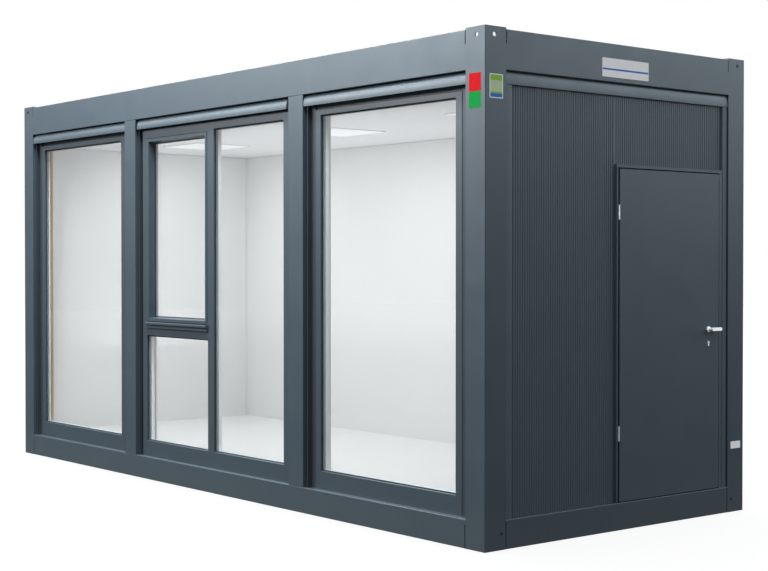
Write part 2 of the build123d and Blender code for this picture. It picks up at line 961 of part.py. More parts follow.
# Hinges: the lower half of each knuckle is welded to the frame, the upper half to the leaf
arm_centre = (hinge_arm_front + hinge_arm_back) / 2
arm_thickness = hinge_arm_back - hinge_arm_front
for name, edge, low in (
    ("door_hinges", rebate_near, -hinge_half),
    ("leaf_hinges", leaf_near, hinge_clearance / 2),
):
    with BuildPart() as hinges:
        for level in hinge_levels:
            with BuildSketch(wall_plan(door_wall, level + low, 0)):
                with Locations((hinge_place, hinge_depth)):
                    Circle(hinge_radius)
                with Locations(((edge + hinge_place) / 2, arm_centre)):
                    Rectangle(abs(edge - hinge_place), arm_thickness)
            extrude(amount=hinge_half - hinge_clearance / 2)
    hinges.part.label = name
    export_step(hinges.part, f"parts/{name}.step")

# Roses round the spindle, and the lock cylinder below them
spindle_plane = Plane(
    origin=door_wall.from_local_coords(Vector(spindle_place, spindle_level, 0)),
    x_dir=door_wall.x_dir,
    z_dir=door_wall.z_dir,
)
with BuildPart() as lock_set:
    for level, outward in ((-leaf_face, 1), (-leaf_back, -1)):
        with BuildSketch(spindle_plane.offset(level)):
            Circle(rose_radius)
            Circle(rose_bore, mode=Mode.SUBTRACT)
        extrude(amount=outward * rose_thickness)
    with BuildSketch(keyway_plane):
        add(keyway.sketch)
    extrude(amount=leaf_face - leaf_back - 2 * cylinder_proud)
lock_set.part.label = "lock_set"
export_step(lock_set.part, "parts/lock_set.step")

# Lever handle: a lever on each side of the leaf, on one spindle
with BuildPart() as handle:
    with BuildSketch(spindle_plane.offset(lever_standoff)):
        Circle(spindle_radius)
    extrude(amount=-2 * lever_standoff - leaf_back)
    for level, outward, reach in ((0, 1, outer_reach), (-leaf_back, -1, inner_reach)):
        with BuildSketch(spindle_plane.offset(level + outward * neck_gap)):
            Circle(neck_radius)
        extrude(amount=outward * (lever_standoff - neck_gap))
        with BuildSketch(spindle_plane.offset(level + outward * lever_standoff)):
            with Locations(((reach - neck_radius) / 2, 0)):
                RectangleRounded(reach + neck_radius, lever_height, lever_rounding)
        extrude(amount=outward * lever_thickness)
handle.part.label = "lever_handle"
export_step(handle.part, "parts/lever_handle.step")
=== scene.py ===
import bpy
from math import pi, radians
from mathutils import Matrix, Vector


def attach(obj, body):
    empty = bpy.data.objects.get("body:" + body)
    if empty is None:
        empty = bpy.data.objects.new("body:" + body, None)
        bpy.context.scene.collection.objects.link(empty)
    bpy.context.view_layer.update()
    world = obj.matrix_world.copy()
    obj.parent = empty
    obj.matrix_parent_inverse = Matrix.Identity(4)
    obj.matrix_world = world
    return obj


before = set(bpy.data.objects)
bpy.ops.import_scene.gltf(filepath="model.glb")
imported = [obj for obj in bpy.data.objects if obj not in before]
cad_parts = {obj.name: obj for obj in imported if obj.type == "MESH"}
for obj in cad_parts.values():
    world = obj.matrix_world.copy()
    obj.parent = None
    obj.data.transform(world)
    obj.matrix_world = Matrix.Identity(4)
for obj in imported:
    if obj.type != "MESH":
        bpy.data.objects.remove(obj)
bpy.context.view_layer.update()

# ---- Camera, floor and light
# A long lens in front of the glazed side, far out to the door end and at standing height, as in
# the photograph. The cabin stands on a white studio floor between soft boxes.
view = bpy.data.objects.new("view", bpy.data.cameras.new("view"))
bpy.context.scene.collection.objects.link(view)
view.location = (9.4213, -7.1994, 1.6985)
view.rotation_euler = (radians(89.175), 0, radians(50.784))
view.data.sensor_width = 36
view.data.lens = 69.855
bpy.context.scene.camera = view
bpy.context.scene.view_settings.view_transform = "Standard"


def tone(code):
    """Linear colour of an sRGB hex code."""
    parts = [int(code[i:i + 2], 16) / 255 for i in (1, 3, 5)]
    return [v / 12.92 if v <= 0.04045 else ((v + 0.055) / 1.055) ** 2.4 for v in parts] + [1]


def add_node(tree, kind, inputs=None, **settings):
    """Adds a node with its settings, and sets or links its inputs."""
    node = tree.nodes.new(kind)
    for name, value in settings.items():
        setattr(node, name, value)
    for name, value in (inputs or {}).items():
        if isinstance(value, bpy.types.NodeSocket):
            tree.links.new(value, node.inputs[name])
        else:
            node.inputs[name].default_value = value
    return node


def object_place(tree):
    """Object coordinates, which stay with the piece."""
    return add_node(tree, "ShaderNodeTexCoord").outputs["Object"]


def noise(tree, place, scale, detail=2.0):
    """Soft noise from 0 to 1, finer as its scale grows."""
    inputs = {"Vector": place, "Scale": scale, "Detail": detail}
    return add_node(tree, "ShaderNodeTexNoise", inputs).outputs["Fac"]


def remap(tree, value, **limits):
    """Rescales a value between limits named from_min, from_max, to_min and to_max."""
    inputs = {key.replace("_", " ").title(): limit for key, limit in limits.items()}
    return add_node(tree, "ShaderNodeMapRange", {"Value": value, **inputs}).outputs["Result"]


def blend(tree, share, first, second):
    """Colour between two others, by a share from 0 to 1."""
    inputs = {0: share, 6: first, 7: second}
    return add_node(tree, "ShaderNodeMix", inputs, data_type="RGBA").outputs[2]


def new_material(name, **inputs):
    """Material with one surface shader, whose plain inputs are given by name."""
    material = bpy.data.materials.new(name)
    material.use_nodes = True
    shader = material.node_tree.nodes["Principled BSDF"]
    for socket, value in inputs.items():
        shader.inputs[socket.replace("_", " ")].default_value = value
    return material, material.node_tree, shader


def select_none():
    """Leaves edit mode and deselects every object."""
    if bpy.context.mode != "OBJECT":
        bpy.ops.object.mode_set(mode="OBJECT")
    bpy.ops.object.select_all(action="DESELECT")


# White painted studio floor: even matt paint, a little warmer where it is worn. What the camera
# sees of it is lifted to white, and the cabin above is lit only by what the floor reflects.
floor_lift = 0.84
studio_white, tree, shader = new_material("matt_studio_paint", Roughness=0.85)
patches = noise(tree, object_place(tree), 0.4)
tree.links.new(blend(tree, patches, tone("#878889"), tone("#848586")), shader.inputs["Base Color"])
seen = add_node(tree, "ShaderNodeLightPath").outputs["Is Camera Ray"]
lift = add_node(tree, "ShaderNodeMath", {0: seen, 1: floor_lift}, operation="MULTIPLY")
tree.links.new(lift.outputs["Value"], shader.inputs["Emission Strength"])
shader.inputs["Emission Color"].default_value = (1, 1, 1, 1)
select_none()
bpy.ops.mesh.primitive_plane_add(size=80, location=(0, 0, -0.001))
floor = bpy.context.object
floor.name = "studio_floor"
bpy.ops.object.transform_apply()
floor.data.materials.append(studio_white)

# The studio round the cabin is white to the camera. As a light it is dim at the horizon and
# brighter overhead, like a room lit from its ceiling.
horizon_light = 0.17
ceiling_light = 0.78
sky = bpy.data.worlds.new("studio")
bpy.context.scene.world = sky
sky.use_nodes = True
way = add_node(sky.node_tree, "ShaderNodeTexCoord").outputs["Generated"]
upward = add_node(sky.node_tree, "ShaderNodeSeparateXYZ", {"Vector": way})
level = remap(
    sky.node_tree, upward.outputs["Z"], from_max=0.55, to_min=horizon_light, to_max=ceiling_light
)
seen = add_node(sky.node_tree, "ShaderNodeLightPath").outputs["Is Camera Ray"]
either = add_node(
    sky.node_tree, "ShaderNodeMath", {0: level, 1: seen}, operation="MAXIMUM"
)
back = sky.node_tree.nodes["Background"]
back.inputs["Color"].default_value = (1, 1, 1, 1)
sky.node_tree.links.new(either.outputs["Value"], back.inputs["Strength"])

# The studio lamps light the outer CAD nodes alone. Not on the list are the room, the glass and the
# roof sheet, which would be tinted or burnt out, and the pieces that this script adds.
outside = bpy.data.collections.new("outside")
fittings = bpy.data.collections.new("fittings")
unlit_nodes = ("wall_linings", "front_lining", "ceiling", "ceiling_lights", "floor_deck", "roof_sheet")
for name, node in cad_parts.items():
    if name not in unlit_nodes and "glass" not in name:
        outside.objects.link(node)
    if name in ("lever_handle", "lock_set", "door_hinges", "leaf_hinges"):
        fittings.objects.link(node)


def soft_box(name, location, target, wide, tall, power, shade, lights=None):
    """Rectangular studio light turned towards a point, that may light one collection only."""
    data = bpy.data.lights.new(name, "AREA")
    data.shape = "RECTANGLE"
    data.size = wide
    data.size_y = tall
    data.energy = power
    data.color = tone(shade)[:3]
    lamp = bpy.data.objects.new(name, data)
    bpy.context.scene.collection.objects.link(lamp)
    lamp.location = location
    way = Vector(target) - Vector(location)
    lamp.rotation_euler = way.to_track_quat("-Z", "Y").to_euler()
    lamp.visible_camera = False
    lamp.visible_transmission = False
    if lights:
        lamp.light_linking.receiver_collection = lights
    return lamp


soft_box("key_front", (-6.0, -9.5, 6.5), (0, -1.2, 2.4), 9, 3.0, 1450, "#F2F8FB", outside)
soft_box("top_front", (-0.6, -2.1, 5.8), (-0.5, -1.3, 0.2), 9, 1.0, 1020, "#EEF6FB", outside)
soft_box("fill_gable", (10, 7, 6.5), (3, 0, 1.8), 6, 4, 480, "#DDEFF7", outside)
soft_box("rim_gable", (5.2, 10.0, 4.5), (3.03, 0, 1.8), 2, 4, 230, "#E2F5FB", outside)
soft_box("kicker", (7.0, 0.2, 2.6), (3.05, 0.6, 1.3), 1.2, 1.2, 75, "#F4FAFF", fittings)
panel_pitch = 1.895
for place_x, power in ((-panel_pitch, 12), (0, 10), (panel_pitch, 9.5)):
    soft_box("room_light", (place_x, 0.02, 2.735), (place_x, 0.02, 0), 0.5, 0.5, power, "#FAFCFF")
soft_box("room_bounce", (-0.6, 0, 0.9), (-0.6, 0.001, 2.7), 4.5, 1.2, 9, "#FAFCFF")
soft_box("window_light", (-0.3, -0.95, 1.3), (-0.3, 1.0, 1.2), 5.0, 2.0, 24, "#FAFCFF")

# ---- Steel frame
# Cold folded 4 mm sections, welded at the corners and powder coated anthracite grey. The coat is
# satin, with the fine orange peel of baked powder, rain haze in runs and a little dust low down.
anthracite = "#343F47"


def raise_bumps(tree, shader, height, strength, distance):
    """Roughens a surface by a pattern of the given height in metres."""
    inputs = {"Height": height, "Strength": strength, "Distance": distance}
    bump = add_node(tree, "ShaderNodeBump", inputs)
    tree.links.new(bump.outputs["Normal"], shader.inputs["Normal"])


def powder_coat(name, code, rough, peel_mm, peel_height_mm):
    """Baked powder or coil coat on steel: near even colour, orange peel, rain haze and dust."""
    material, tree, shader = new_material(name)
    shader.inputs["Specular IOR Level"].default_value = 0.4
    place = object_place(tree)
    dark = tone(code)
    light = [min(1, v * 1.14) for v in dark[:3]] + [1]
    shade = blend(tree, noise(tree, place, 1.3, 4.0), dark, light)
    drawn = add_node(tree, "ShaderNodeMapping", {"Vector": place, "Scale": (9, 9, 0.5)})
    runs = noise(tree, drawn.outputs["Vector"], 3.0, 5.0)
    run_share = remap(tree, runs, from_min=0.5, from_max=0.85, to_max=0.06)
    rained = blend(tree, run_share, shade, tone("#50585C"))
    height = add_node(tree, "ShaderNodeSeparateXYZ", {"Vector": place}).outputs["Z"]
    low_down = remap(tree, height, from_min=0.30, from_max=0.0, to_max=0.10)
    speck = noise(tree, place, 40.0, 5.0)
    dust = add_node(tree, "ShaderNodeMath", {0: low_down, 1: speck}, operation="MULTIPLY")
    dusty = blend(tree, dust.outputs["Value"], rained, tone("#8B8981"))
    tree.links.new(dusty, shader.inputs["Base Color"])
    haze = noise(tree, place, 6.0, 6.0)
    gloss = remap(tree, haze, from_min=0.3, from_max=0.7, to_min=rough - 0.04, to_max=rough + 0.05)
    tree.links.new(gloss, shader.inputs["Roughness"])
    raise_bumps(tree, shader, noise(tree, place, 1000 / peel_mm), 0.25, peel_height_mm / 1000)
    return material


def dress(material, *names):
    """Gives CAD nodes their finish."""
    for name in names:
        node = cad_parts[name]
        node.data.materials.clear()
        node.data.materials.append(material)


frame_coat = powder_coat("powder_coated_steel_frame", anthracite, 0.42, 6, 0.3)
all_nodes = sorted(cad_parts)
frame_parts = ("floor_beam", "corner_", "roof_beam", "mullion")
dress(frame_coat, *[name for name in all_nodes if name.startswith(frame_parts)])
dress(frame_coat, "head_trims", "shutter_boxes")

# ---- Drain plugs
# Black rubber plugs in the drain holes low on the door end posts: a flat flange, a raised grip
# and a dimple where the mould pin stood.
half_l = 3.0275
half_w = 1.2175


def open_piece(piece, name=None):
    """Opens one piece for editing, with all of it selected."""
    if name:
        piece.name = name
    select_none()
    piece.select_set(True)
    bpy.context.view_layer.objects.active = piece
    bpy.ops.object.transform_apply(location=False, rotation=False, scale=True)
    bpy.ops.object.mode_set(mode="EDIT")
    bpy.ops.mesh.select_mode(type="FACE")
    bpy.ops.mesh.select_all(action="SELECT")


def pick_faces(piece, wanted):
    """In edit mode, selects only the faces whose centre and normal pass a test."""
    bpy.ops.mesh.select_all(action="DESELECT")
    bpy.ops.object.mode_set(mode="OBJECT")
    for face in piece.data.polygons:
        face.select = wanted(face.center, face.normal)
    bpy.ops.object.mode_set(mode="EDIT")


def push(x, y, z):
    """Extrudes the selected faces along the piece's own axes."""
    bpy.ops.mesh.extrude_region_move(
        TRANSFORM_OT_translate={"value": (x, y, z), "orient_type": "LOCAL"}
    )


def finish_piece(piece, body, materials, edge=0.0, steps=2):
    """Closes the mesh, rounds its edges, sets its place in the mesh and hands it to its body."""
    open_piece(piece)
    bpy.ops.mesh.remove_doubles(threshold=0.00001)
    bpy.ops.mesh.normals_make_consistent(inside=False)
    bpy.ops.object.mode_set(mode="OBJECT")
    bpy.ops.object.transform_apply(location=True, rotation=True, scale=True)
    if edge:
        rounding = piece.modifiers.new("rounding", "BEVEL")
        rounding.width = edge
        rounding.segments = steps
        rounding.limit_method = "ANGLE"
        rounding.angle_limit = radians(30)
        bpy.ops.object.modifier_apply(modifier="rounding")
    bpy.ops.object.shade_smooth_by_angle(angle=radians(30))
    for material in materials:
        piece.data.materials.append(material)
    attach(piece, body)
    select_none()
    return piece


def moulded(name, code, rough, grain_mm, specular=0.5):
    """Moulded or extruded rubber or plastic: even colour, a fine grain and a little bloom."""
    material, tree, shader = new_material(name, Roughness=rough, Specular_IOR_Level=specular)
    place = object_place(tree)
    dark = tone(code)
    light = [min(1, v * 1.12 + 0.002) for v in dark[:3]] + [1]
    bloom = noise(tree, place, 14.0, 4.0)
    tree.links.new(blend(tree, bloom, dark, light), shader.inputs["Base Color"])
    raise_bumps(tree, shader, noise(tree, place, 1000 / grain_mm), 0.2, 0.0002)
    return material


black_rubber = moulded("epdm_rubber", "#131516", 0.62, 1.5)
plug_spots = ((0.137, 0.098), (2.3088, 0.088))
for number, (along, up) in enumerate(plug_spots, 1):
    select_none()
    bpy.ops.mesh.primitive_cylinder_add(
        vertices=24, radius=0.008, depth=0.002,
        location=(half_l + 0.001, along - half_w, up), rotation=(0, pi / 2, 0),
    )
    plug = bpy.context.object
    open_piece(plug, f"drain_plug_{number}")
    pick_faces(plug, lambda centre, normal: normal.z > 0.9)
    bpy.ops.mesh.inset(thickness=0.003)
    push(0, 0, 0.002)
    bpy.ops.mesh.inset(thickness=0.002)
    push(0, 0, -0.0015)
    finish_piece(plug, "cabin", [black_rubber], 0.0006)

# ---- Corner joints
# The narrow gaps between the beams and the corners are sealed with black joint compound, pressed
# in a little below the steel and hollowed with a finger.
joint_black = moulded("black_joint_compound", "#0F1112", 0.7, 4.0)
seam_near = 0.170
seam_far = 0.177
for wall, reach, other, low_top in (("long", half_l, half_w, 0.144), ("end", half_w, half_l, 0.168)):
    for along in (-1, 1):
        for side in (-1, 1):
            for zone, low, top in (("foot", 0.004, low_top), ("head", 3.006, 3.088)):
                middle = along * (reach - (seam_near + seam_far) / 2)
                out = side * (other - 0.0075)
                spot = (middle, out) if wall == "long" else (out, middle)
                size = (0.0072, 0.009) if wall == "long" else (0.009, 0.0072)
                select_none()
                bpy.ops.mesh.primitive_cube_add(
                    size=1, location=(*spot, (low + top) / 2), scale=(*size, top - low)
                )
                bead = bpy.context.object
                ends = ("far", "near")[along > 0] + ("_front", "_back")[side > 0]
                open_piece(bead, f"joint_{wall}_{zone}_{ends}")
                axis = 1 if wall == "long" else 0
                pick_faces(bead, lambda centre, normal: normal[axis] * side > 0.9)
                bpy.ops.mesh.inset(thickness=0.0015)
                shift = [0, 0, 0]
                shift[axis] = -side * 0.0012
                bpy.ops.transform.translate(value=shift)
                finish_piece(bead, "cabin", [joint_black], 0.0004)

# ---- Head trim ends
# The middle trim is cut short for the mullions, and a pressed end piece of the same section closes
# each end.
cut_at = 0.992
trim_end = 1.0195
shift_out = 0.0278
for side, hand in ((1, "right"), (-1, "left")):
    select_none()
    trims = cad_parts["head_trims"]
    copied = trims.copy()
    copied.data = trims.data.copy()
    bpy.context.scene.collection.objects.link(copied)
    open_piece(copied, f"trim_end_{hand}")
    bpy.ops.mesh.remove_doubles(threshold=0.00001)
    bpy.ops.mesh.bisect(
        plane_co=(side * cut_at, 0, 0), plane_no=(side, 0, 0), use_fill=True, clear_inner=True
    )
    bpy.ops.mesh.select_all(action="SELECT")
    bpy.ops.mesh.bisect(
        plane_co=(side * (trim_end + 0.01), 0, 0), plane_no=(side, 0, 0), clear_outer=True
    )
    bpy.ops.mesh.select_all(action="SELECT")
    bpy.ops.transform.translate(value=(side * shift_out, 0, 0))
    copied.data.materials.clear()
    finish_piece(copied, "cabin", [frame_coat])

# ---- Roof
# Galvanised sheets let in between the roof beams, joined by standing seams under folded caps.
# Hot dipped zinc has a frosty spangle of pale crystals that dulls outdoors.
zinc, tree, shader = new_material("galvanised_steel", Metallic=0.9, Roughness=0.45)
place = object_place(tree)
spangle = add_node(tree, "ShaderNodeTexVoronoi", {"Vector": place, "Scale": 60.0}).outputs["Distance"]
weathered = noise(tree, place, 2.5, 5.0)
bright = blend(tree, spangle, tone("#B4B9BC"), tone("#D2D6D8"))
dull = remap(tree, weathered, from_min=0.35, from_max=0.75, to_max=0.6)
tree.links.new(blend(tree, dull, bright, tone("#A3A8AA")), shader.inputs["Base Color"])
tree.links.new(remap(tree, weathered, to_min=0.38, to_max=0.58), shader.inputs["Roughness"])
dress(zinc, "roof_sheet", "floor_joists", "door_hinges", "leaf_hinges")

seam_pitch = 0.5715
seam_top = 3.057
cap_size = (0.013, 2.265, 0.014)
for number in range(1, 10):
    select_none()
    bpy.ops.mesh.primitive_cube_add(
        size=1, location=((number - 5) * seam_pitch, 0, seam_top - 0.004), scale=cap_size
    )
    cap = bpy.context.object
    open_piece(cap, f"seam_cap_{number}")
    pick_faces(cap, lambda centre, normal: abs(normal.x) > 0.9)
    bpy.ops.mesh.inset(thickness=0.004)
    finish_piece(cap, "cabin", [zinc], 0.002)

# ---- Ribbed walls, strips and door
# Coil coated steel sheet, rolled into fine ribs and glued to a foam core. Its coat is smoother
# than powder and a touch duller than the frame's.
panel_coat = powder_coat("coil_coated_steel_sheet", "#3A454D", 0.46, 9, 0.2)
dress(panel_coat, "back_wall_panels", "far_wall_panels", "edge_strips")
dress(panel_coat, "door_end_panel_beside", "door_end_panel_over")
door_coat = powder_coat("coil_coated_door_sheet", "#374149", 0.44, 9, 0.2)
dress(door_coat, "door_leaf", "door_frame")

# ---- Window frames
# Welded plastic profiles, foiled anthracite outside and left white inside, where they show
# through the glass.
def window_profile(name, foil_depth):
    """Plastic profile: grained foil down to a depth in the wall, and bare white behind it."""
    material, tree, shader = new_material(name, Roughness=0.4)
    shader.inputs["Specular IOR Level"].default_value = 0.42
    place = object_place(tree)
    depth = add_node(tree, "ShaderNodeSeparateXYZ", {"Vector": place}).outputs["Y"]
    inside = add_node(
        tree, "ShaderNodeMath", {0: depth, 1: foil_depth - half_w}, operation="GREATER_THAN"
    )
    foil = blend(tree, noise(tree, place, 1.7, 3.0), tone("#313B43"), tone("#39444C"))
    colour = blend(tree, inside.outputs["Value"], foil, tone("#E6E8EA"))
    tree.links.new(colour, shader.inputs["Base Color"])
    raise_bumps(tree, shader, noise(tree, place, 120.0, 3.0), 0.15, 0.0003)
    return material


frame_foil = window_profile("foiled_frame_profile", 0.076)
dress(frame_foil, "window_frame_left", "window_frame_middle", "window_frame_right", "drip_moulding")
sash_foil = window_profile("foiled_sash_profile", 0.118)
dress(sash_foil, "sash")

# ---- Glass with its gaskets and spacers
# Two sheets of float glass round a dull aluminium spacer, pressed between extruded rubber
# gaskets: slate grey outside, pale grey inside.
glass, tree, shader = new_material(
    "float_glass", Roughness=0.01, IOR=1.5, Transmission_Weight=1.0
)
shader.inputs["Base Color"].default_value = tone("#FEFFFF")
smear = noise(tree, object_place(tree), 3.0, 5.0)
tree.links.new(remap(tree, smear, to_max=0.03), shader.inputs["Roughness"])
light_path = add_node(tree, "ShaderNodeLightPath")
open_to_lamps = add_node(tree, "ShaderNodeBsdfTransparent", {"Color": tone("#FAFCFC")})
either = add_node(
    tree,
    "ShaderNodeMixShader",
    {0: light_path.outputs["Is Shadow Ray"], 1: shader.outputs[0], 2: open_to_lamps.outputs[0]},
)
tree.links.new(either.outputs[0], tree.nodes["Material Output"].inputs["Surface"])
dress(glass, *[name for name in all_nodes if "glass" in name])

facing_front = (pi / 2, 0, 0)


def ring(name, centre, wide, tall, turn, depth, broad):
    """Rectangular ring of four bars, pushed back from the plane it faces out of."""
    select_none()
    bpy.ops.mesh.primitive_plane_add(size=1, location=centre, rotation=turn)
    piece = bpy.context.object
    open_piece(piece, name)
    bpy.ops.transform.resize(value=(wide, tall, 1), orient_type="LOCAL", center_override=centre)
    bpy.ops.mesh.inset(thickness=broad)
    bpy.ops.mesh.delete(type="FACE")
    bpy.ops.mesh.select_all(action="SELECT")
    push(0, 0, -depth)
    return piece


spacer_grey = moulded("aluminium_edge_spacer", "#A9ADB0", 0.5, 2.0)
grey_rubber = moulded("grey_glazing_gasket", "#8E9294", 0.6, 1.5)
slate_rubber = moulded("slate_glazing_gasket", "#2C3338", 0.6, 1.5)
sheet = 0.004
air_gap = 0.016
panes = {
    "left": (-2.7125, -1.3625, 0.303, 2.698, 0.060),
    "right": (1.3625, 2.7125, 0.303, 2.698, 0.060),
    "middle": (0.047, 0.929, 0.303, 2.698, 0.053),
    "lower": (-0.929, -0.047, 0.303, 1.130, 0.053),
    "sash": (-0.890, -0.086, 1.281, 2.653, 0.093),
}
for name, (left, right, low, top, front) in panes.items():
    middle = (left + right) / 2
    level = (low + top) / 2
    wide = right - left
    tall = top - low
    for kind, ahead, thick, broad, finish, slot in (
        ("outer_gasket", -0.003, 0.003, 0.003, slate_rubber, "window_plastic"),
        ("spacer", sheet, air_gap, 0.005, spacer_grey, "rail_aluminium"),
        ("inner_gasket", 2 * sheet + air_gap, 0.003, 0.003, grey_rubber, "window_plastic"),
    ):
        centre = (middle, front + ahead - half_w, level)
        piece = ring(f"{kind}_{name}", centre, wide, tall, facing_front, thick, broad)
        finish_piece(piece, "cabin", [finish], 0.0008)

# ---- Shutters
# Extruded aluminium guide rails beside each window, and the end slat of each rolled up curtain, which
# hangs in the slot above it with a narrowed foot.
# The coat is darker than the frame's: partly the rails' own paint, partly painted shade for the deep
# recesses beside each window and the slot above it.
rail_coat_and_painted_shade = powder_coat("powder_coated_rail_and_painted_shade", "#2B3136", 0.4, 6, 0.2)
dress(rail_coat_and_painted_shade, "shutter_rails")
guide_reach = 0.030
slat_y = 0.036 - half_w
slat_level = 2.813
bays = (("left", -2.0375, 0.820), ("middle", 0, 1.0475), ("right", 2.0375, 0.820))
# Each end slat wears the dark rail coat, which also paints the shade of the slot it hangs in.
for name, centre, half_bay in bays:
    select_none()
    long = 2 * (half_bay - guide_reach)
    bpy.ops.mesh.primitive_cube_add(
        size=1, location=(centre, slat_y, slat_level), scale=(long, 0.010, 0.040)
    )
    slat = bpy.context.object
    open_piece(slat, f"end_slat_{name}")
    bpy.ops.mesh.bisect(plane_co=(0, 0, slat_level - 0.012), plane_no=(0, 0, 1))
    pick_faces(slat, lambda centre, normal: normal.z < -0.9)
    foot = (centre, slat_y, slat_level - 0.020)
    bpy.ops.transform.resize(value=(1, 0.6, 1), center_override=foot)
    finish_piece(slat, "cabin", [rail_coat_and_painted_shade], 0.001)

# ---- Room
# White faced boards on the walls, a grey white ceiling with three flat light panels, and a pale
# vinyl floor.
board, tree, shader = new_material("melamine_faced_board", Roughness=0.5)
cloud = noise(tree, object_place(tree), 0.9, 3.0)
tree.links.new(blend(tree, cloud, tone("#E6E6E5"), tone("#ECECEB")), shader.inputs["Base Color"])
dress(board, "front_lining", "wall_linings")

ceiling_board, tree, shader = new_material("ceiling_board", Roughness=0.6)
cloud = noise(tree, object_place(tree), 0.9, 3.0)
tree.links.new(blend(tree, cloud, tone("#E8E8E8"), tone("#ECECEC")), shader.inputs["Base Color"])
dress(ceiling_board, "ceiling")

opal, tree, shader = new_material("opal_light_panel", Roughness=0.4, Emission_Strength=0.12)
shader.inputs["Base Color"].default_value = tone("#FFFFFF")
place = object_place(tree)
prism = add_node(tree, "ShaderNodeTexVoronoi", {"Vector": place, "Scale": 90.0}).outputs["Distance"]
tree.links.new(blend(tree, prism, tone("#FFFFFF"), tone("#F6F9FB")), shader.inputs["Emission Color"])
dress(opal, "ceiling_lights")

vinyl, tree, shader = new_material("sheet_vinyl_floor", Roughness=0.3)
place = object_place(tree)
fleck = add_node(tree, "ShaderNodeTexVoronoi", {"Vector": place, "Scale": 120.0}).outputs["Distance"]
tree.links.new(blend(tree, fleck, tone("#F2F2F1"), tone("#F9F9F8")), shader.inputs["Base Color"])
dress(vinyl, "floor_deck")

# Aluminium frames round the light panels, white lacquered, screwed flat to the ceiling.
white_lacquer = moulded("white_lacquered_aluminium", "#F0F1F2", 0.35, 3.0)
ceiling_level = 2.750
trim_size = 0.565
for number, place_x in enumerate((-panel_pitch, 0, panel_pitch), 1):
    spot = (place_x, 0, ceiling_level)
    trim = ring(f"light_trim_{number}", spot, trim_size, trim_size, (0, 0, 0), 0.008, 0.010)
    finish_piece(trim, "cabin", [white_lacquer], 0.002)

# Shadow gap profile where the wall boards meet the ceiling.
gap_grey = moulded("grey_joint_profile", "#C6C9CB", 0.6, 2.0)
front_depth = 0.133
wall_depth = 0.100
inner_length = 2 * (half_l - wall_depth)
inner_width = 2 * half_w - front_depth - wall_depth
middle = (0, (front_depth - wall_depth) / 2, ceiling_level)
joint = ring("ceiling_joint", middle, inner_length, inner_width, (0, 0, 0), 0.006, 0.005)
finish_piece(joint, "cabin", [gap_grey], 0.001)

# Raw edge of the board that packs out the left jamb of the left window: pale pressed wood chips
# in a resin, sawn and left bare.
chipboard, tree, shader = new_material("sawn_chipboard_edge", Roughness=0.85)
place = object_place(tree)
chips = add_node(tree, "ShaderNodeTexVoronoi", {"Vector": place, "Scale": 300.0}).outputs["Distance"]
tan = blend(tree, noise(tree, place, 60.0, 5.0), tone("#B08A5E"), tone("#D9BA90"))
tree.links.new(blend(tree, chips, tan, tone("#C9A679")), shader.inputs["Base Color"])
raise_bumps(tree, shader, chips, 0.4, 0.0006)
select_none()
bpy.ops.mesh.primitive_cube_add(
    size=1, location=(-2.7115, 0.111 - half_w, 1.5005), scale=(0.002, 0.028, 2.393)
)
packer = bpy.context.object
open_piece(packer, "raw_board_edge")
bpy.ops.mesh.subdivide(number_cuts=2)
finish_piece(packer, "cabin", [chipboard], 0.0004)

# ---- Door seal, threshold and hinge caps
# A rubber seal on three sides of the frame's stop, a folded stainless plate over the threshold,
# and a turned cap at the end of each hinge knuckle.
facing_door = (pi / 2, 0, pi / 2)
seal_left = 1.1835 - half_w
seal_right = 2.1605 - half_w
seal_low = 0.201
seal_top = 2.2955
seal = ring(
    "door_seal",
    (half_l - 0.0475, (seal_left + seal_right) / 2, (seal_low + seal_top) / 2),
    seal_right - seal_left,
    seal_top - seal_low,
    facing_door,
    0.0045,
    0.0095,
)
finish_piece(seal, "cabin", [black_rubber], 0.0015)

brushed, tree, shader = new_material("brushed_stainless_steel", Metallic=1.0, Roughness=0.34)
drawn = add_node(tree, "ShaderNodeMapping", {"Vector": object_place(tree), "Scale": (900, 12, 900)})
lines = noise(tree, drawn.outputs["Vector"], 1.0)
tree.links.new(blend(tree, lines, tone("#A9ACAE"), tone("#C9CCCE")), shader.inputs["Base Color"])
select_none()
bpy.ops.mesh.primitive_cube_add(
    size=1, location=(half_l - 0.076, 0.455, 0.2005), scale=(0.046, 0.950, 0.0015)
)
plate = bpy.context.object
open_piece(plate, "threshold_plate")
pick_faces(plate, lambda centre, normal: normal.z > 0.9)
bpy.ops.mesh.inset(thickness=0.006)
finish_piece(plate, "cabin", [brushed], 0.0004)

knuckle_y = 1.1655 - half_w
half_knuckle = 0.045
for number, level in enumerate((0.616, 2.028), 1):
    for kind, body, way in (("lower", "cabin", -1), ("upper", "door", 1)):
        base = level + way * half_knuckle
        select_none()
        bpy.ops.mesh.primitive_cylinder_add(
            vertices=24, radius=0.0072, depth=0.002,
            location=(half_l - 0.002, knuckle_y, base + way * 0.001),
            rotation=(0 if way > 0 else pi, 0, 0),
        )
        cap = bpy.context.object
        open_piece(cap, f"hinge_cap_{kind}_{number}")
        pick_faces(cap, lambda centre, normal: normal.z > 0.9)
        bpy.ops.mesh.inset(thickness=0.0012)
        push(0, 0, 0.002)
        bpy.ops.mesh.inset(thickness=0.002)
        finish_piece(cap, body, [zinc], 0.0005)

# ---- Door furniture
# Satin anodised aluminium lever on round roses, over a cylinder of the same aluminium whose plug has
# the dark slot for the key.
satin, tree, shader = new_material("satin_anodised_aluminium", Metallic=0.2, Roughness=0.25)
brushing = noise(tree, object_place(tree), 400.0)
tree.links.new(blend(tree, brushing, tone("#F0F2F4"), tone("#FAFBFC")), shader.inputs["Base Color"])
dress(satin, "lever_handle", "lock_set")

